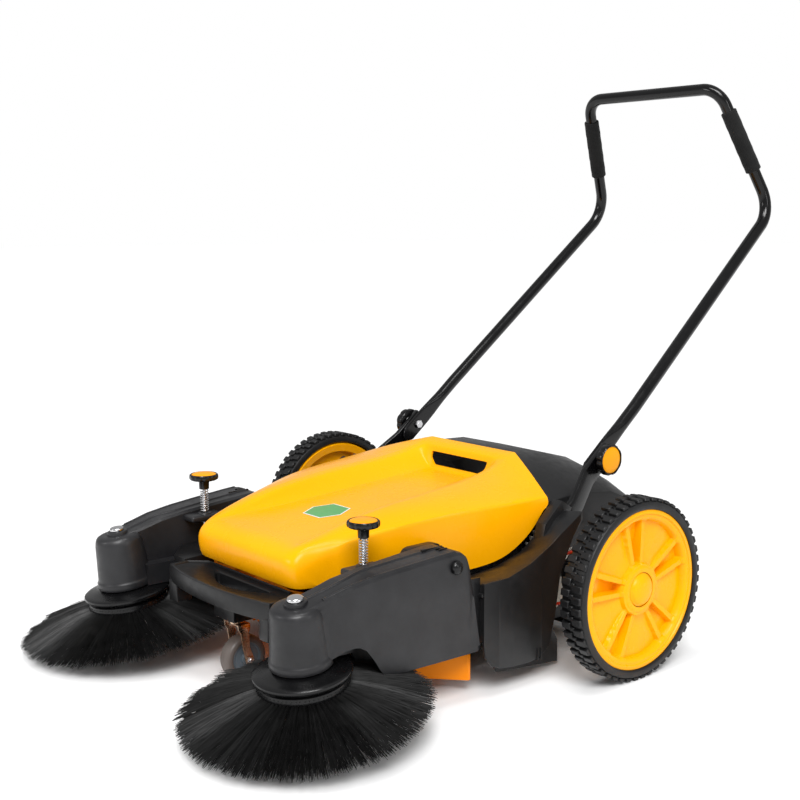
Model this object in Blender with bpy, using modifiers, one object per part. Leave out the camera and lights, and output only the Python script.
"""Walk-behind manual sweeper: an assembly of named parts, in metres, +Z up, front towards -Y.

Every part is drawn about the point of the floor under the wheel axle. One empty then shifts the
whole machine along Y, so that the origin is the middle of its footprint on the floor.
"""
import math

import bmesh
import bpy
from mathutils import Matrix, Vector

# ---- driving dimensions (metres) --------------------------------------------------------------
AXLE_SHIFT_Y = 0.0540          # wheel axle behind the middle of the footprint
GAP = 0.0006                   # clearance between faces that touch
SIDES = (("right", 1.0), ("left", -1.0))

WHEEL_R = 0.150                # running wheels
TYRE_WIDTH = 0.045
WHEEL_STEPS = 28
TYRE_FACE_X = 0.4290
RIM_R = 0.1308
AXLE_R = 0.008
BELT_R = 0.0030
PULLEY_X = 0.300               # plane of the wheel belt
WHEEL_PULLEY_R = 0.043
GEAR_MODULE = 0.004
GEAR_TEETH = 37
PINION_TEETH = 18
GEAR_X = 0.2265                # middle of the gear pair

CHAMBER_HALF = 0.215           # brush chamber
CHAMBER_FRONT = -0.204
CHAMBER_REAR = 0.100
CHAMBER_TOP = 0.252
CHAMBER_BOTTOM = 0.046
WALL = 0.004

ROLLER_Y = -0.100              # main brush
ROLLER_R = 0.100
ROLLER_HALF = 0.200
CENTRE_DISTANCE = GEAR_MODULE * (GEAR_TEETH + PINION_TEETH) / 2
ROLLER_Z = WHEEL_R - math.sqrt(CENTRE_DISTANCE ** 2 - ROLLER_Y ** 2)

PANEL_X = 0.325                # outer face of the side frame
ARM_INNER_X = 0.243
ARM_PIVOT = Vector((0.0, -0.304, 0.220))
BRUSH_TIP = Vector((0.260, -0.542, 0.040))     # centre of the side brush's tip circle
BRUSH_R = 0.191
BRUSH_LEAN_FRONT = 0.126
BRUSH_LEAN_SIDE = 0.039
IDLER = Vector((PULLEY_X, -0.266, 0.150))
IDLER_R = 0.0165
BRUSH_PULLEY_R = 0.030

ADJUSTER = Vector((0.229, -0.412, 0.0))
BOSS_TOP = 0.2260
RAIL_BOTTOM = 0.110
RAIL_TOP = 0.170

CASTER_R = 0.0375
CASTER_SWIVEL_Y = -0.493
CASTER_HUB_Y = -0.483

HANDLE_PIVOT = Vector((0.0, 0.095, 0.328))
TUBE_R = 0.0115
GRIP_R = 0.0160
STRUT_X = 0.271                # middle of the strut's thickness, low in its socket
CLAMP_X = 0.252                # and at the clamp, after its joggle

# Plan and height lines of the hopper, front to rear: (y, value)
CREASE_HALF_WIDTH = ((-0.470, 0.148), (-0.351, 0.180), (-0.229, 0.220), (-0.045, 0.259))
CREASE_HEIGHT = ((-0.430, 0.238), (-0.351, 0.255), (-0.229, 0.275), (-0.045, 0.281))
RIM_HEIGHT = ((-0.430, 0.249), (-0.340, 0.275), (-0.200, 0.291), (-0.060, 0.302), (0.023, 0.328))
TRAY_HEIGHT = ((-0.435, 0.242), (-0.133, 0.275), (-0.014, 0.283))
TRAY_HALF_WIDTH = ((-0.435, 0.112), (-0.133, 0.077), (-0.014, 0.072))
HEM_HEIGHT = ((-0.450, 0.178), (-0.200, 0.174), (-0.130, 0.186), (-0.083, 0.221), (-0.050, 0.264))
RIM_HALF_WIDTH = ((-0.430, 0.126), (-0.200, 0.132), (-0.060, 0.120), (0.023, 0.106))

PAINT = {
    "yellow": ((1.0, 0.50, 0.0), 0.35, 0.0),
    "orange": ((1.0, 0.27, 0.0), 0.40, 0.0),
    "black": ((0.030, 0.030, 0.031), 0.45, 0.0),
    "arm": ((0.045, 0.046, 0.048), 0.50, 0.0),
    "tube": ((0.010, 0.010, 0.010), 0.30, 0.0),
    "foam": ((0.012, 0.012, 0.012), 0.90, 0.0),
    "tyre": ((0.018, 0.017, 0.017), 0.80, 0.0),
    "bristle": ((0.008, 0.008, 0.008), 0.70, 0.0),
    "belt": ((0.60, 0.07, 0.01), 0.45, 0.0),
    "steel": ((0.62, 0.62, 0.62), 0.30, 1.0),
    "gear": ((0.75, 0.74, 0.70), 0.50, 0.0),
    "caster": ((0.12, 0.10, 0.09), 0.55, 0.0),
}


# ---- scene and small helpers ------------------------------------------------------------------
def clear_scene():
    for obj in list(bpy.data.objects):
        bpy.data.objects.remove(obj)


def make_collection(name):
    collection = bpy.data.collections.new(name)
    bpy.context.scene.collection.children.link(collection)
    return collection


clear_scene()
PARTS = make_collection("walk_behind_sweeper")
CUTTERS = make_collection("cutters")


def make_material(name):
    colour, roughness, metallic = PAINT[name]
    material = bpy.data.materials.new(name)
    material.use_nodes = True
    shader = material.node_tree.nodes["Principled BSDF"]
    shader.inputs["Base Color"].default_value = (*colour, 1.0)
    shader.inputs["Roughness"].default_value = roughness
    shader.inputs["Metallic"].default_value = metallic
    return material


MATERIALS = {name: make_material(name) for name in PAINT}


def make_empty(name, point, parent=None):
    """An empty at a point, given about the floor under the axle."""
    empty = bpy.data.objects.new(name, None)
    PARTS.objects.link(empty)
    empty.location = Vector(point)
    if parent is not None:
        empty.parent = parent
        empty.location = Vector(point) - PIVOT_POINTS[parent.name]
    PIVOT_POINTS[name] = Vector(point)
    return empty


PIVOT_POINTS = {}
DATUM = make_empty("floor_under_axle", (0.0, 0.0, 0.0))
DATUM.location = (0.0, AXLE_SHIFT_Y, 0.0)


def add_part(name, mesh, material, pivot=DATUM):
    """Link a mesh drawn about the datum as a part that hangs on a pivot."""
    part = bpy.data.objects.new(name, mesh)
    PARTS.objects.link(part)
    part.parent = pivot
    part.location = -PIVOT_POINTS[pivot.name]
    mesh.materials.clear()
    mesh.materials.append(MATERIALS[material])
    mesh.shade_smooth()
    mesh.set_sharp_from_angle(angle=math.radians(35))
    return part


def mesh_of(obj):
    """The object's evaluated mesh in world space, welded; the object is removed."""
    bpy.context.view_layer.update()
    evaluated = obj.evaluated_get(bpy.context.evaluated_depsgraph_get())
    mesh = bpy.data.meshes.new_from_object(evaluated)
    mesh.transform(obj.matrix_world)
    bpy.data.objects.remove(obj)
    weld(mesh)
    return mesh


def weld(mesh):
    work = bmesh.new()
    work.from_mesh(mesh)
    bmesh.ops.remove_doubles(work, verts=work.verts, dist=0.00002)
    work.to_mesh(mesh)
    work.free()


def scratch(name, data):
    obj = bpy.data.objects.new(name, data)
    CUTTERS.objects.link(obj)
    return obj


def between(y, line):
    """Straight-line interpolation along a line of (position, value) points."""
    if y <= line[0][0]:
        return line[0][1]
    for (y0, v0), (y1, v1) in zip(line, line[1:]):
        if y <= y1:
            return v0 + (v1 - v0) * (y - y0) / (y1 - y0)
    return line[-1][1]


def axis_matrix(direction, point):
    """Turns +Z to a direction and moves the origin to a point."""
    turn = Vector((0, 0, 1)).rotation_difference(Vector(direction)).to_matrix().to_4x4()
    return Matrix.Translation(point) @ turn


X_AXIS = Matrix(((0, 0, 1, 0), (0, 1, 0, 0), (-1, 0, 0, 0), (0, 0, 0, 1)))


# ---- shapes -----------------------------------------------------------------------------------
def box(low, high):
    work = bmesh.new()
    bmesh.ops.create_cube(work, size=1.0)
    low, high = Vector(low), Vector(high)
    for vert in work.verts:
        vert.co = (low + high) / 2 + Vector(a * b for a, b in zip(vert.co, high - low))
    mesh = bpy.data.meshes.new("box")
    work.to_mesh(mesh)
    work.free()
    return mesh


def turned(profile, steps=24, ring=False):
    """Screw a profile of (radius, height), which runs down its outer side, about Z."""
    count = len(profile)
    edges = [(i, i + 1) for i in range(count - 1)]
    if ring:
        edges.append((count - 1, 0))
    mesh = bpy.data.meshes.new("profile")
    mesh.from_pydata([(r, 0.0, z) for r, z in profile], edges, [])
    obj = scratch("profile", mesh)
    screw = obj.modifiers.new("turn", "SCREW")
    screw.steps = screw.render_steps = steps
    screw.use_merge_vertices = True
    screw.merge_threshold = 0.0001
    return mesh_of(obj)


def turned_on_x(profile, x, y, z, side=1.0, steps=24, ring=False):
    """A turned shape whose heights run outwards along X from x, on one side of the machine."""
    mesh = turned(profile, steps, ring)
    mesh.transform(Matrix.Translation((x, y, z)) @ X_AXIS)
    return mirrored(mesh, side)


def mirrored(mesh, side):
    if side < 0:
        mesh.transform(Matrix.Scale(-1.0, 4, (1, 0, 0)))
        mesh.flip_normals()
    return mesh


def extruded(outline, low, high, plane="YZ"):
    """A flat outline given thickness from low to high along the plane's normal."""
    curve = bpy.data.curves.new("outline", "CURVE")
    curve.dimensions = "2D"
    curve.fill_mode = "BOTH"
    curve.extrude = (high - low) / 2
    spline = curve.splines.new("POLY")
    spline.points.add(len(outline) - 1)
    for point, (u, v) in zip(spline.points, outline):
        point.co = (u, v, 0.0, 1.0)
    spline.use_cyclic_u = True
    mesh = mesh_of(scratch("outline", curve))
    middle = (low + high) / 2
    frames = {
        "YZ": Matrix(((0, 0, 1, middle), (1, 0, 0, 0), (0, 1, 0, 0), (0, 0, 0, 1))),
        "XY": Matrix(((1, 0, 0, 0), (0, 1, 0, 0), (0, 0, 1, middle), (0, 0, 0, 1))),
        "XZ": Matrix(((1, 0, 0, 0), (0, 0, -1, middle), (0, 1, 0, 0), (0, 0, 0, 1))),
    }
    mesh.transform(frames[plane])
    return mesh


def tube(points, radius, cyclic=False, resolution=2):
    curve = bpy.data.curves.new("tube", "CURVE")
    curve.dimensions = "3D"
    curve.bevel_depth = radius
    curve.bevel_resolution = resolution
    curve.use_fill_caps = not cyclic
    spline = curve.splines.new("POLY")
    spline.points.add(len(points) - 1)
    for point, place in zip(spline.points, points):
        point.co = (*place, 1.0)
    spline.use_cyclic_u = cyclic
    return mesh_of(scratch("tube", curve))


def shell(rows, thickness, close_rows=False, close_end=False):
    """Loft rows of points into a skin, and thicken it away from its outer face."""
    width = len(rows[0])
    columns = range(width if close_rows else width - 1)
    faces = []
    for i in range(len(rows) - 1):
        for j in columns:
            k = (j + 1) % width
            faces.append((i * width + j, i * width + k, (i + 1) * width + k, (i + 1) * width + j))
    if close_end:
        faces.append(tuple((len(rows) - 1) * width + j for j in range(width)))
    mesh = bpy.data.meshes.new("skin")
    mesh.from_pydata([point for row in rows for point in row], [], faces)
    obj = scratch("skin", mesh)
    solidify = obj.modifiers.new("wall", "SOLIDIFY")
    solidify.thickness = thickness
    solidify.offset = -1.0
    return mesh_of(obj)


def combined(mesh, other, operation):
    """Exact Boolean of two closed meshes."""
    body = scratch("body", mesh)
    tool = scratch("tool", other)
    modifier = body.modifiers.new("combine", "BOOLEAN")
    modifier.operation = operation
    modifier.solver = "EXACT"
    modifier.object = tool
    result = mesh_of(body)
    bpy.data.objects.remove(tool)
    return result


def joined(*meshes):
    result = meshes[0]
    for mesh in meshes[1:]:
        result = combined(result, mesh, "UNION")
    return result


def cut(mesh, *tools):
    for tool in tools:
        mesh = combined(mesh, tool, "DIFFERENCE")
    return mesh


def cylinder(radius, start, end, steps=20):
    start, end = Vector(start), Vector(end)
    length = (end - start).length
    mesh = turned([(0, length), (radius, length), (radius, 0), (0, 0)], steps)
    mesh.transform(axis_matrix(end - start, start))
    return mesh


def arc(centre, radius, start, end, count):
    """Points of a circle from one angle to another, in degrees."""
    angles = [math.radians(start + (end - start) * i / (count - 1)) for i in range(count)]
    return [(centre[0] + radius * math.cos(a), centre[1] + radius * math.sin(a)) for a in angles]


def rounded(corners, radius, count=4):
    """An outline with each corner replaced by an arc that is tangent to its two sides."""
    outline = []
    for i, corner in enumerate(corners):
        here = Vector(corner)
        before = (Vector(corners[i - 1]) - here).normalized()
        after = (Vector(corners[(i + 1) % len(corners)]) - here).normalized()
        half = before.angle(after) / 2
        bisector = (before + after).normalized()
        centre = here + bisector * radius / math.sin(half)
        first = here + before * radius / math.tan(half) - centre
        last = here + after * radius / math.tan(half) - centre
        for k in range(count):
            blend = first.lerp(last, k / (count - 1)).normalized() * radius
            outline.append(tuple(centre + blend))
    return outline


# ---- hopper: lower tub and upper cover --------------------------------------------------------
def cover_row(y, y_side):
    """One half cross-section of the cover, from the middle of the tray out to the hem."""
    crease = between(y_side, CREASE_HALF_WIDTH)
    crease_z = between(y_side, CREASE_HEIGHT)
    rim = between(y, RIM_HALF_WIDTH)
    rim_z = between(y, RIM_HEIGHT)
    hem_z = between(y_side, HEM_HEIGHT)
    tray = between(y, TRAY_HALF_WIDTH)
    tray_z = between(y, TRAY_HEIGHT)
    shoulder = Vector((rim, y, rim_z)).lerp((crease, y_side, crease_z), 0.5)
    return [(0.0, y, tray_z), (tray, y, tray_z), (rim, y, rim_z),
            (shoulder.x, shoulder.y, shoulder.z + 0.004),
            (crease, y_side, crease_z), (crease + 0.003, y_side, (crease_z + hem_z) / 2),
            (crease + 0.002, y_side, hem_z)]


def nose_row(swell, lift):
    """One half row across the rounded front; swell runs forwards and lift upwards from the hem."""
    corner = [(0.0, 0.000), (0.080, 0.000), (0.118, 0.002), (0.138, 0.010), (0.147, 0.022),
              (0.151, 0.034), (0.152, 0.045)]
    heights = [1.0, 1.0, 1.0, 0.92, 0.70, 0.35, 0.0]
    return [(x + 0.10 * swell * (x > 0.13), -0.478 + back - swell, 0.179 + lift * h)
            for (x, back), h in zip(corner, heights)]


def raised_rear_row(y, y_side, height, hem_y):
    row = cover_row(y, y_side)
    row[0] = (0.0, y, height)
    row[1] = (row[1][0], y, height)
    row[2] = (row[2][0], y, max(height, row[2][2]))
    row[6] = (row[6][0], hem_y, row[6][2])
    return row


def whole(row):
    return [(-x, y, z) for x, y, z in row[:0:-1]] + list(row)


def make_cover(pivot):
    rows = [nose_row(0.000, 0.0), nose_row(0.008, 0.026), nose_row(-0.006, 0.050)]
    rows += [cover_row(-0.436, -0.418), cover_row(-0.340, -0.335), cover_row(-0.229, -0.240)]
    rows += [cover_row(-0.133, -0.170), cover_row(-0.075, -0.110)]
    rows.append(cover_row(-0.014, -0.070))
    rows.append(raised_rear_row(-0.004, -0.056, 0.320, -0.060))
    rows.append(raised_rear_row(0.023, -0.045, 0.328, -0.050))
    mesh = shell([whole(row) for row in rows], 0.0035)
    window = extruded([(-0.060, 0.288), (0.060, 0.288), (0.072, 0.296), (0.066, 0.311),
                       (-0.066, 0.311), (-0.072, 0.296)], -0.030, 0.0165, "XZ")
    return add_part("hopper_cover", cut(mesh, window), "yellow", pivot)


TUB_LEVELS = (
    # height, share of the plan that is drawn in, foremost y
    (0.168, 0.000, -0.500),
    (0.105, 0.010, -0.500),
    (0.0765, 0.040, -0.450),
    (0.0745, 0.045, -0.392),
    (0.0400, 0.055, -0.366),
    (0.0240, 0.110, -0.350),
)


def make_tub(pivot):
    """A bin with a caster recess in its raised nose and an open mouth towards the main brush."""
    half = [(0.050, -0.424), (0.062, -0.456), (0.105, -0.463), (0.134, -0.452), (0.146, -0.430)]
    half += [(between(y, CREASE_HALF_WIDTH) - 0.009, y) for y in (-0.351, -0.280, -0.211)]
    plan = [(-x, y) for x, y in reversed(half)] + half
    rows = [[(x * (1 - inset), max(y, front), z) for x, y in reversed(plan)]
            for z, inset, front in TUB_LEVELS]
    skin = shell(rows, 0.003, close_rows=True, close_end=True)
    mouth = box((-0.170, -0.230, 0.052), (0.170, -0.190, 0.156))
    return add_part("hopper_tub", cut(skin, mouth), "orange", pivot)


# ---- chassis ----------------------------------------------------------------------------------
def make_chamber():
    outer = box((-CHAMBER_HALF, CHAMBER_FRONT, CHAMBER_BOTTOM), (CHAMBER_HALF, CHAMBER_REAR, CHAMBER_TOP))
    inner = box((-CHAMBER_HALF + WALL, CHAMBER_FRONT + WALL, CHAMBER_BOTTOM - 0.01),
                (CHAMBER_HALF - WALL, CHAMBER_REAR - WALL, CHAMBER_TOP - WALL))
    mouth = box((-0.170, CHAMBER_FRONT - 0.01, CHAMBER_BOTTOM - 0.02), (0.170, CHAMBER_FRONT + 0.01, 0.156))
    shaft_hole = cylinder(AXLE_R + 0.0005, (-0.3, ROLLER_Y, ROLLER_Z), (0.3, ROLLER_Y, ROLLER_Z), 12)
    add_part("brush_chamber", cut(outer, inner, mouth, shaft_hole), "black")


def make_hood():
    """The cowl behind the hopper, over the gear and the rear of the chamber."""
    top = ((0.027, 0.322), (0.100, 0.319), (0.160, 0.303), (0.205, 0.270), (0.240, 0.215), (0.262, 0.135))
    rows = []
    for y, z in top:
        drop = 1.0 - (y - 0.027) / 0.235
        shoulder_y = y - 0.035 * drop
        side_y = y - 0.064 * drop
        shoulder_z = 0.130 + (z - 0.130) * (0.888 + 0.08 * (1 - drop))
        side_z = 0.130 + (z - 0.130) * (0.72 + 0.08 * (1 - drop))
        rows.append(whole([(0.0, y, z), (0.108, y, z - 0.001), (0.182, shoulder_y, shoulder_z),
                           (0.2445, side_y, side_z), (0.2480, side_y, max(side_z - 0.090, 0.120))]))
    add_part("brush_hood", shell(rows, 0.0035), "black")


FRAME_STATIONS = (
    # y, lip height inside, lip height outside, lower edge of the panel
    (-0.250, 0.170, 0.185, 0.066),
    (-0.200, 0.169, 0.186, 0.065),
    (-0.150, 0.178, 0.200, 0.065),
    (-0.105, 0.196, 0.222, 0.068),
    (-0.083, 0.214, 0.236, 0.170),
    (-0.056, 0.243, 0.251, 0.222),
    (-0.032, 0.258, 0.266, 0.252),
)
STRUT_ANGLE = math.atan2(0.757 - HANDLE_PIVOT.z, 0.6276 - HANDLE_PIVOT.y)


def on_strut(mesh):
    """Place a mesh drawn level about the handle pivot along the strut's slope."""
    mesh.transform(Matrix.Translation(HANDLE_PIVOT) @ Matrix.Rotation(STRUT_ANGLE, 4, "X"))
    return mesh


def strut_bar(width, x_low, x_high, start, end):
    """A flat bar along the strut's line, from start to end measured from the handle pivot."""
    outline = rounded([(start, -width / 2), (end, -width / 2), (end, width / 2), (start, width / 2)],
                      width * 0.22, 3)
    return on_strut(extruded(outline, x_low, x_high))


def make_side_frame(name, side):
    """Rail beside the hopper, arched lip and outer panel over the belt, and the strut's socket."""
    rows = []
    for y, inside, outside, low in FRAME_STATIONS:
        x = between(y, CREASE_HALF_WIDTH) + 0.007
        rows.append([(x, y, 0.115 if y < -0.10 else inside - 0.03), (x, y, inside),
                     (PANEL_X, y, outside), (PANEL_X, y, low)])
    channel = shell(rows, 0.004)
    inner = [(between(y, CREASE_HALF_WIDTH) + 0.006, y) for y in (-0.497, -0.450, -0.351, -0.240)]
    rail = extruded(inner + [(ARM_INNER_X - 0.0025, -0.240), (ARM_INNER_X - 0.0025, -0.455),
                             (0.190, -0.497)], RAIL_BOTTOM, RAIL_TOP, "XY")
    lug = extruded(rounded([(-0.342, 0.150), (-0.262, 0.150), (-0.262, 0.238), (-0.342, 0.238)], 0.018),
                   0.225, ARM_INNER_X - 0.0025)
    socket = extruded([(-0.085, 0.205), (-0.028, 0.240), (-0.012, 0.262), (-0.036, 0.277), (-0.075, 0.243)],
                      STRUT_X - 0.0085, STRUT_X + 0.012)
    mesh = joined(rail, channel, lug, socket)
    slot = strut_bar(0.0345, STRUT_X - 0.0056, STRUT_X + 0.0056, -0.180, 0.0)
    add_part(name, mirrored(cut(mesh, slot), side), "black")


def make_front_beam():
    """Bowed bumper bar with its two posts, and a crescent slot for the fingers."""
    half = [(0.035, -0.550), (0.070, -0.546), (0.105, -0.540), (0.137, -0.5335), (0.150, -0.5260)]
    plan = [(-x, y) for x, y in reversed(half)] + half
    plan += [(0.150, -0.4985), (0.130, -0.4685), (-0.130, -0.4685), (-0.150, -0.4985)]
    beam = extruded(plan, 0.140, RAIL_TOP, "XY")
    posts = [box((x - 0.013, -0.5320, 0.108), (x + 0.013, -0.502, 0.150)) for x in (-0.136, 0.136)]
    foot = box((-0.030, -0.518, 0.1060), (0.030, -0.4690, 0.1500))
    rear = [(0.075, -0.480), (-0.075, -0.480)]
    front = [(x, -0.484 - 0.030 * (1 - (x / 0.075) ** 2)) for x in (-0.065, -0.040, 0.0, 0.040, 0.065)]
    slot = extruded(rear + front, 0.1385, 0.180, "XY")
    add_part("front_beam", cut(joined(beam, *posts, foot), slot), "black")


def make_skirts():
    """Guards that close the sides of the sweeping space down to the floor, and the rear flap."""
    outline = [(-0.202, 0.045), (-0.192, 0.021), (-0.050, 0.006), (-0.050, 0.044),
               (-0.105, 0.140), (-0.190, 0.140)]
    for name, side in SIDES:
        guard = extruded(outline, 0.286, 0.290)
        rib = box((CHAMBER_HALF + GAP, -0.190, 0.060), (0.288, -0.182, 0.100))
        add_part("side_skirt_" + name, mirrored(joined(guard, rib), side), "black")
    flap = box((-0.205, CHAMBER_REAR + GAP, 0.008), (0.205, CHAMBER_REAR + 0.004, 0.080))
    add_part("rear_flap", flap, "tyre")


def make_base_pans():
    """Low guards in the hopper's colour, hung from the rails under the side brush arms."""
    plan = [(0.1860, -0.3440), (0.2890, -0.2530), (0.2890, -0.2480), (0.2835, -0.2480), (0.1835, -0.3395)]
    for name, side in SIDES:
        guard = extruded(plan, 0.0220, 0.0640, "XY")
        hanger = box((0.1960, -0.3345, 0.0300), (0.2080, -0.3230, RAIL_BOTTOM - GAP))
        add_part("base_pan_" + name, mirrored(joined(guard, hanger), side), "orange")


# ---- running wheels and their drive -----------------------------------------------------------
def gear_outline(teeth, phase):
    """Tooth flanks as straight lines between root, pitch and tip circles."""
    pitch = GEAR_MODULE * teeth / 2
    outline = []
    for i in range(teeth):
        for radius, share in ((pitch - 0.0046, -0.30), (pitch + 0.0036, -0.11),
                              (pitch + 0.0036, 0.11), (pitch - 0.0046, 0.30)):
            angle = phase + 2 * math.pi * (i + share) / teeth
            outline.append((radius * math.cos(angle), radius * math.sin(angle)))
    return outline


def make_gear(name, teeth, phase, y, z, bore, pivot):
    outline = [(y + u, z + v) for u, v in gear_outline(teeth, phase)]
    mesh = extruded(outline, GEAR_X - 0.005, GEAR_X + 0.005)
    hole = cylinder(bore, (GEAR_X - 0.02, y, z), (GEAR_X + 0.02, y, z), 16)
    add_part(name, cut(mesh, hole), "gear", pivot)


def make_wheel(name, side):
    pivot = make_empty("pivot_wheel_" + name, (0.0, 0.0, WHEEL_R), DATUM)
    back = TYRE_FACE_X - TYRE_WIDTH
    w = TYRE_WIDTH
    tread = [(RIM_R + 0.0007, w - 0.001), (0.141, w), (0.1485, w - 0.005), (WHEEL_R, w - 0.011),
             (WHEEL_R, 0.010), (0.1480, 0.003), (0.140, 0.0), (RIM_R + 0.0007, 0.002)]
    tyre = turned_on_x(tread, back, 0, WHEEL_R, side, WHEEL_STEPS, ring=True)
    add_part("tyre_" + name, tyre, "tyre", pivot)
    rim = [(0.0165, w - 0.006), (0.036, w - 0.006), (0.040, w - 0.012), (0.114, w - 0.012),
           (0.118, w - 0.002), (RIM_R, w - 0.002), (RIM_R, 0.004), (0.118, 0.004),
           (0.114, w - 0.018), (0.030, w - 0.018), (0.030, 0.0), (0.0165, 0.0)]
    rim_mesh = turned_on_x(rim, back, 0, WHEEL_R, side, WHEEL_STEPS, ring=True)
    add_part("rim_" + name, rim_mesh, "yellow", pivot)
    cap = [(0, 0.0105), (0.012, 0.0098), (0.021, 0.0075), (0.0275, 0.0020), (0.0275, 0.0), (0, 0.0)]
    cap_x = TYRE_FACE_X - 0.006 + GAP
    add_part("hub_cap_" + name, turned_on_x(cap, cap_x, 0, WHEEL_R, side, 20), "yellow", pivot)
    start = GEAR_X + 0.005 + GAP
    groove = PULLEY_X - start
    length = back + 0.030 - start
    sleeve = [(AXLE_R + GAP, length), (0.0158, length), (0.0158, groove + 0.008), (0.048, groove + 0.006),
              (0.048, groove + 0.0045), (WHEEL_PULLEY_R - 0.0016, groove + 0.0040),
              (WHEEL_PULLEY_R - 0.0016, groove - 0.0040), (0.048, groove - 0.0045),
              (0.048, groove - 0.006), (0.0158, groove - 0.008), (0.0158, 0.0), (AXLE_R + GAP, 0.0)]
    sleeve_mesh = turned_on_x(sleeve, start, 0, WHEEL_R, side, 18, ring=True)
    add_part("wheel_pulley_" + name, sleeve_mesh, "black", pivot)
    flange = CHAMBER_HALF + GAP
    reach = TYRE_FACE_X - 0.008 - flange
    axle = [(0, reach), (AXLE_R, reach), (AXLE_R, 0.004), (0.024, 0.004), (0.024, 0), (0, 0)]
    add_part("stub_axle_" + name, turned_on_x(axle, flange, 0, WHEEL_R, side, 16), "steel")
    return pivot


def make_roller():
    pivot = make_empty("pivot_roller", (0.0, ROLLER_Y, ROLLER_Z), DATUM)
    h, end = ROLLER_HALF, GEAR_X + 0.009
    core = [(0, end), (AXLE_R, end), (AXLE_R, h + 0.004), (0.030, h + 0.004), (0.030, -h - 0.004),
            (AXLE_R, -h - 0.004), (AXLE_R, -end), (0, -end)]
    add_part("roller_core", turned_on_x(core, 0, ROLLER_Y, ROLLER_Z), "black", pivot)
    tuft = [(0.0306, h), (ROLLER_R, h), (ROLLER_R, -h), (0.0306, -h)]
    add_part("roller_bristles", turned_on_x(tuft, 0, ROLLER_Y, ROLLER_Z, 1, 28, ring=True), "bristle", pivot)
    line = math.atan2(WHEEL_R - ROLLER_Z, -ROLLER_Y)
    make_gear("roller_pinion", PINION_TEETH, line, ROLLER_Y, ROLLER_Z, AXLE_R + GAP / 2, pivot)
    return line


def belt_loop(centre_a, radius_a, centre_b, radius_b):
    """Centre line of an open belt round two pulleys in one plane x = const."""
    a, b = Vector(centre_a), Vector(centre_b)
    line = b - a
    heading = math.atan2(line.z, line.y)
    lean = math.acos((radius_a - radius_b) / math.hypot(line.y, line.z))
    points = []
    for centre, radius, start, end in ((b, radius_b, -lean, lean), (a, radius_a, lean, 2 * math.pi - lean)):
        for k in range(13):
            angle = heading + start + (end - start) * k / 12
            points.append(centre + Vector((0.0, math.cos(angle), math.sin(angle))) * radius)
    return points


# ---- side brush arms --------------------------------------------------------------------------
BRUSH_AXIS = Vector((math.sin(BRUSH_LEAN_SIDE), -math.sin(BRUSH_LEAN_FRONT), 1.0)).normalized()


def on_brush(mesh, side):
    """Stand a shape made about Z on the side brush's axis."""
    mesh.transform(axis_matrix(BRUSH_AXIS, BRUSH_TIP))
    return mirrored(mesh, side)


def quarter_turn_belt(radius):
    """Belt from the idler, which turns about X, to the brush pulley, which turns about its own axis."""
    rear = [(IDLER.x - 0.009, IDLER.y + radius * math.cos(a), IDLER.z + radius * math.sin(a))
            for a in (math.radians(d) for d in range(-90, 91, 18))]
    hub = BRUSH_TIP + BRUSH_AXIS * 0.092
    turn = axis_matrix(BRUSH_AXIS, hub)
    reach = BRUSH_PULLEY_R + BELT_R
    front = [tuple(turn @ Vector((reach * math.cos(a), reach * math.sin(a), 0.0)))
             for a in (math.radians(d) for d in range(0, -181, -20))]
    return rear + front


def arm_outline(inset):
    """Side view of the arm: flat skirt behind, notch, and the nose that meets the cup."""
    top = [(-0.2580, 0.079), (-0.272, 0.222), (-0.290, 0.243), (-0.345, 0.240), (-0.455, 0.2255),
           (-0.540, 0.2065), (-0.572, 0.2020), (-0.588, 0.188), (-0.586, 0.150),
           (-0.520, 0.125), (-0.485, 0.139),
           (-0.462, 0.128), (-0.438, 0.084), (-0.425, 0.076)]
    if inset == 0.0:
        return top
    low = [(-0.2570, 0.060), (-0.2762, 0.2220), (-0.292, 0.2388), (-0.345, 0.236), (-0.455, 0.2215),
           (-0.5300, 0.2040), (-0.5460, 0.2000), (-0.5460, 0.060)]
    return low


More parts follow.
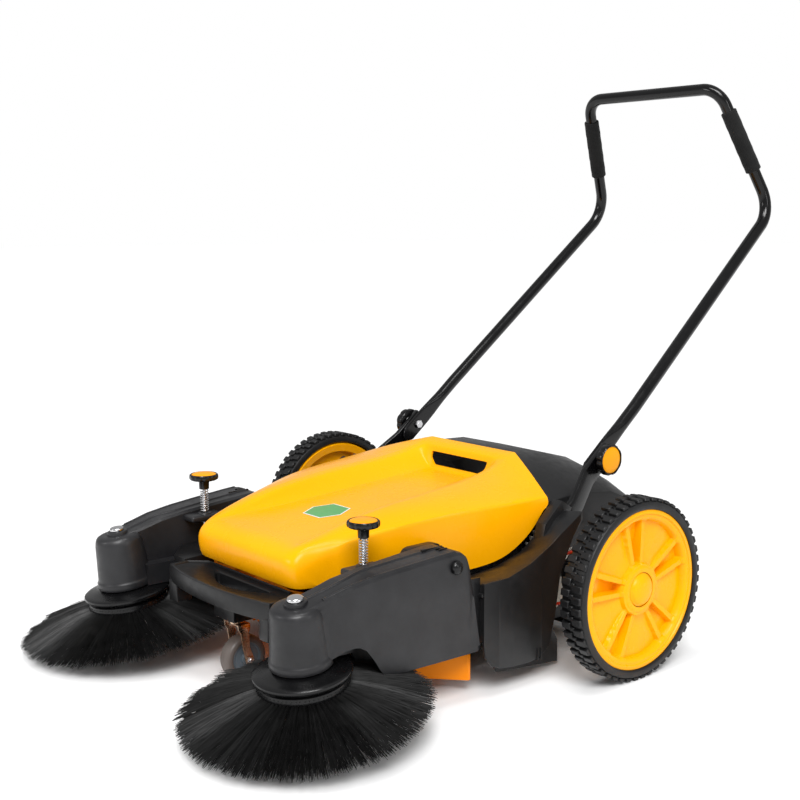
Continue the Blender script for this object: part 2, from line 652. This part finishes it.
def make_arm(name, side):
    pivot = make_empty("pivot_arm_" + name, (side * ARM_INNER_X, ARM_PIVOT.y, ARM_PIVOT.z), DATUM)
    body = extruded(arm_outline(0.0), ARM_INNER_X, 0.316)
    for vert in body.vertices:
        if vert.co.x > 0.28:
            vert.co.x = 0.3225 + (vert.co.y + 0.258) * 0.063
    cup = turned([(0, 0.1655), (0.027, 0.1655), (0.038, 0.159), (0.0405, 0.150), (0.0470, 0.075),
                  (0, 0.075)], 18)
    cup.transform(axis_matrix(BRUSH_AXIS, BRUSH_TIP))
    boss = turned([(0, BOSS_TOP), (0.013, BOSS_TOP), (0.013, 0.190), (0, 0.190)], 14)
    boss.transform(Matrix.Translation((ADJUSTER.x, ADJUSTER.y, 0)))
    web = box((ADJUSTER.x, ADJUSTER.y - 0.030, 0.200), (ARM_INNER_X + 0.01, ADJUSTER.y + 0.030, 0.219))
    mesh = joined(body, cup, boss, web)
    hollow = extruded(arm_outline(0.003), ARM_INNER_X + 0.0035, 0.312)
    for vert in hollow.vertices:
        if vert.co.x > 0.28:
            vert.co.x = 0.3190 + (vert.co.y + 0.258) * 0.063
    bore = turned([(0, 0.156), (0.034, 0.156), (0.0430, 0.060), (0, 0.060)], 18)
    bore.transform(axis_matrix(BRUSH_AXIS, BRUSH_TIP))
    mouth = box((ARM_INNER_X + 0.0035, -0.300, 0.05), (0.3145, -0.240, 0.200))
    rod_hole = cylinder(0.0040, (ADJUSTER.x, ADJUSTER.y, 0.15), (ADJUSTER.x, ADJUSTER.y, 0.25), 12)
    spindle_hole = cylinder(0.0088, BRUSH_TIP + BRUSH_AXIS * 0.14, BRUSH_TIP + BRUSH_AXIS * 0.20, 14)
    spot_face = cylinder(0.0150, BRUSH_TIP + BRUSH_AXIS * 0.166, BRUSH_TIP + BRUSH_AXIS * 0.20, 16)
    pin_hole = cylinder(0.0056, (0.20, ARM_PIVOT.y, ARM_PIVOT.z), (0.36, ARM_PIVOT.y, ARM_PIVOT.z), 14)
    belt_window = box((0.215, -0.546, 0.050), (ARM_INNER_X + 0.010, -0.395, 0.168))
    mesh = cut(mesh, hollow, bore, mouth, belt_window, rod_hole, spindle_hole, spot_face, pin_hole)
    add_part("arm_" + name, mirrored(mesh, side), "arm", pivot)

    start = ARM_INNER_X - 0.0025 + GAP
    shank = 0.3200 - start
    pin = [(0, shank + 0.0065), (0.006, shank + 0.0055), (0.0105, shank + 0.002), (0.0105, shank + 0.0003),
           (0.0050, shank + 0.0003), (0.0050, 0.0), (0, 0.0)]
    add_part("arm_pin_" + name, turned_on_x(pin, start, ARM_PIVOT.y, ARM_PIVOT.z, side, 14), "black", pivot)

    idler_pivot = make_empty("pivot_idler_" + name, (side * IDLER.x, IDLER.y, IDLER.z), pivot)
    drum = [(0, 0.0080), (0.0050, 0.0080), (0.0095, 0.0060), (0.0095, -0.0045), (0.0205, -0.0045),
            (IDLER_R, -0.0050), (IDLER_R, -0.0130), (0.0205, -0.0135), (0.0205, -0.0150), (0, -0.0150)]
    drum_mesh = turned_on_x(drum, IDLER.x, IDLER.y, IDLER.z, side, 16)
    add_part("idler_pulley_" + name, drum_mesh, "black", idler_pivot)
    belt = tube(quarter_turn_belt(IDLER_R + BELT_R + GAP), BELT_R, cyclic=True, resolution=1)
    add_part("brush_belt_" + name, mirrored(belt, side), "belt", pivot)
    return pivot


def make_adjuster(name, side, arm_pivot):
    """Height screw of one arm: threaded rod, knob with its cap, and the spring between them."""
    pivot = make_empty("pivot_adjuster_" + name, (side * ADJUSTER.x, ADJUSTER.y, RAIL_TOP), arm_pivot)
    at = Matrix.Translation((side * ADJUSTER.x, ADJUSTER.y, 0))
    rod = turned([(0, 0.2665), (0.0032, 0.2665), (0.0032, RAIL_TOP + GAP), (0, RAIL_TOP + GAP)], 10)
    rod.transform(at)
    add_part("adjuster_rod_" + name, rod, "steel", pivot)
    knob = turned([(0, 0.2970), (0.0225, 0.2965), (0.0255, 0.2935), (0.0255, 0.2860), (0.0240, 0.2840),
                   (0.0100, 0.2835), (0.0090, 0.2672), (0, 0.2672)], 16)
    knob.transform(at)
    add_part("adjuster_knob_" + name, knob, "black", pivot)
    spring = turned([(0.0078, 0.2665), (0.0078, BOSS_TOP + GAP), (0.0058, BOSS_TOP + GAP), (0.0058, 0.2665)],
                    14, ring=True)
    spring.transform(at)
    add_part("adjuster_spring_" + name, spring, "steel", pivot)


def make_side_brush(name, side, arm_pivot):
    centre = (side * BRUSH_TIP.x, BRUSH_TIP.y, BRUSH_TIP.z)
    pivot = make_empty("pivot_side_brush_" + name, centre, arm_pivot)
    head = turned([(0.0088, 0.0720), (0.0650, 0.0680), (0.0727, 0.0620), (0.0727, 0.0575), (0.0620, 0.0540),
                   (0.0600, 0.0400), (0.0088, 0.0400)], 20, ring=True)
    add_part("side_brush_head_" + name, on_brush(head, side), "black", pivot)
    tuft = turned([(0.0150, 0.0394), (0.0605, 0.0394), (0.0800, 0.0270), (0.1200, 0.0130), (BRUSH_R, 0.0020),
                   (BRUSH_R, 0.0000), (0.0700, 0.0100), (0.0150, 0.0250)], 28, ring=True)
    add_part("side_bristles_" + name, on_brush(tuft, side), "bristle", pivot)
    spindle = turned([(0, 0.1770), (0.0085, 0.1765), (0.0135, 0.1745), (0.0140, 0.1666), (0.0080, 0.1666),
                      (0.0080, 0.0300), (0, 0.0300)], 18)
    add_part("spindle_" + name, on_brush(spindle, side), "steel", pivot)
    pulley = turned([(0.0086, 0.0990), (0.0290, 0.0990), (BRUSH_PULLEY_R - 0.0020, 0.0960),
                     (BRUSH_PULLEY_R - 0.0020, 0.0880), (0.0290, 0.0850), (0.0086, 0.0850)], 18, ring=True)
    add_part("side_brush_pulley_" + name, on_brush(pulley, side), "black", pivot)


# ---- front caster -----------------------------------------------------------------------------
def make_caster():
    swivel = make_empty("pivot_caster_swivel", (0.0, CASTER_SWIVEL_Y, 0.1), DATUM)
    u = [(-0.0110, 0.1054), (-0.0110, 0.0985), (-0.0215, 0.0960), (-0.0215, 0.0270), (-0.0190, 0.0270),
         (-0.0190, 0.0900), (0.0190, 0.0900), (0.0190, 0.0270), (0.0215, 0.0270), (0.0215, 0.0960),
         (0.0110, 0.0985), (0.0110, 0.1054)]
    fork = extruded(u, 0.0, 0.024, "XZ")
    for vert in fork.vertices:
        drop = (0.0975 - vert.co.z) / 0.07
        slide = (CASTER_HUB_Y - CASTER_SWIVEL_Y) * max(0.0, min(1.0, drop))
        vert.co.y += CASTER_SWIVEL_Y - 0.012 + slide
    hole = cylinder(0.0040, (-0.03, CASTER_HUB_Y, CASTER_R), (0.03, CASTER_HUB_Y, CASTER_R), 12)
    add_part("caster_fork", cut(fork, hole), "steel", swivel)
    spin = make_empty("pivot_caster_wheel", (0.0, CASTER_HUB_Y, CASTER_R), swivel)
    r, h = CASTER_R, 0.0140
    tread = [(0.0046, h + 0.002), (0.010, h + 0.002), (0.011, h - 0.002), (0.026, h), (0.033, h),
             (r, h - 0.006),
             (r, 0.006 - h), (0.033, -h), (0.026, -h), (0.011, 0.002 - h), (0.010, -h - 0.002),
             (0.0046, -h - 0.002)]
    add_part("caster_wheel", turned_on_x(tread, 0, CASTER_HUB_Y, CASTER_R, 1, 20, ring=True), "caster", spin)
    half = 0.0215 + GAP / 2
    pin = [(0, half + 0.004), (0.0065, half + 0.003), (0.0065, half), (0.0036, half), (0.0036, -half),
           (0.0065, -half), (0.0065, -half - 0.003), (0, -half - 0.004)]
    add_part("caster_axle", turned_on_x(pin, 0, CASTER_HUB_Y, CASTER_R, 1, 12), "steel", swivel)


# ---- push handle ------------------------------------------------------------------------------
KNEE = Vector((0.2190, 0.6276, 0.757))
SHOULDER = Vector((0.1680, 0.5140, 0.992))
TONGUE_END = Vector((CLAMP_X - 0.0095, HANDLE_PIVOT.y + 0.124 * math.cos(STRUT_ANGLE),
                     HANDLE_PIVOT.z + 0.124 * math.sin(STRUT_ANGLE)))


def bend(before, corner, after, radius, count=5):
    """Points of the arc that rounds a corner of the handle."""
    to_before = (before - corner).normalized()
    to_after = (after - corner).normalized()
    half = to_before.angle(to_after) / 2
    first = corner + to_before * radius / math.tan(half)
    last = corner + to_after * radius / math.tan(half)
    centre = corner + (to_before + to_after).normalized() * radius / math.sin(half)
    points = []
    for k in range(count):
        offset = (first - centre).lerp(last - centre, k / (count - 1)).normalized() * radius
        points.append(centre + offset)
    return points


def handle_side():
    """Centre line of the right half of the handle, from its flat lower end to the middle."""
    middle = Vector((0.0, SHOULDER.y, SHOULDER.z))
    line = [TONGUE_END, TONGUE_END.lerp(KNEE, 0.5)]
    line += bend(TONGUE_END, KNEE, SHOULDER, 0.060)
    line += bend(KNEE, SHOULDER, middle, 0.045)
    return line


def make_handle():
    pivot = make_empty("pivot_handle", HANDLE_PIVOT, DATUM)
    line = handle_side()
    path = line + [Vector((-p.x, p.y, p.z)) for p in reversed(line)]
    mesh = tube(path, TUBE_R, resolution=2)
    for _, side in SIDES:
        tongue = strut_bar(0.032, CLAMP_X - 0.0125, CLAMP_X - 0.0065, -0.045, 0.135)
        mesh = joined(mesh, mirrored(tongue, side))
    across = Vector((0.3, 0.0, 0.0))
    holes = cylinder(0.0054, HANDLE_PIVOT - across, HANDLE_PIVOT + across, 12)
    add_part("handle_tube", cut(mesh, holes), "tube", pivot)
    for name, side in SIDES:
        lower = KNEE.lerp(SHOULDER, 0.335)
        upper = KNEE.lerp(SHOULDER, 0.815)
        length = (upper - lower).length
        sleeve = turned([(TUBE_R + GAP, length), (GRIP_R - 0.002, length), (GRIP_R, length - 0.003),
                         (GRIP_R, 0.003), (GRIP_R - 0.002, 0), (TUBE_R + GAP, 0)], 16, ring=True)
        sleeve.transform(axis_matrix(upper - lower, lower))
        add_part("grip_" + name, mirrored(sleeve, side), "foam", pivot)
        outer = [(STRUT_X + 0.005, -0.172), (STRUT_X + 0.005, -0.110), (CLAMP_X + 0.005, -0.045),
                 (CLAMP_X + 0.005, 0.022)]
        strut = on_strut(extruded(outer + [(x - 0.010, s) for x, s in reversed(outer)], -0.017, 0.017, "XY"))
        hole = cylinder(0.0054, HANDLE_PIVOT, HANDLE_PIVOT + across, 12)
        add_part("strut_" + name, mirrored(cut(strut, hole), side), "tube")
        clamp = HANDLE_PIVOT + Vector((side * CLAMP_X, 0.0, 0.0))
        knob_pivot = make_empty("pivot_clamp_" + name, clamp, DATUM)
        start = CLAMP_X - 0.0185
        face = CLAMP_X + 0.005 + GAP - start
        knob = [(0, face + 0.0200), (0.0235, face + 0.0195), (0.0275, face + 0.0160), (0.0275, face + 0.0040),
                (0.0250, face), (0.0048, face), (0.0048, 0.0055), (0.0090, 0.0055), (0.0090, 0.0010),
                (0.0070, 0.0), (0, 0.0)]
        add_part("clamp_knob_" + name, turned_on_x(knob, start, HANDLE_PIVOT.y, HANDLE_PIVOT.z, side, 16),
                 "black", knob_pivot)


# ---- assembly ---------------------------------------------------------------------------------
def build():
    hopper = make_empty("pivot_hopper", (0.0, -0.250, 0.170), DATUM)
    make_cover(hopper)
    make_tub(hopper)
    make_chamber()
    make_hood()
    make_front_beam()
    make_skirts()
    make_base_pans()
    line = make_roller()
    for name, side in SIDES:
        make_side_frame("side_frame_" + name, side)
        wheel = make_wheel(name, side)
        if side > 0:
            gap_phase = line + math.pi + math.pi / GEAR_TEETH
            make_gear("drive_gear", GEAR_TEETH, gap_phase, 0.0, WHEEL_R, 0.0130, wheel)
        belt = belt_loop((PULLEY_X, 0.0, WHEEL_R), WHEEL_PULLEY_R + BELT_R,
                         (PULLEY_X, IDLER.y, IDLER.z), 0.0190)
        add_part("wheel_belt_" + name, mirrored(tube(belt, BELT_R, True, 1), side), "belt")
        arm = make_arm(name, side)
        make_adjuster(name, side, arm)
        make_side_brush(name, side, arm)
    make_caster()
    make_handle()


build()
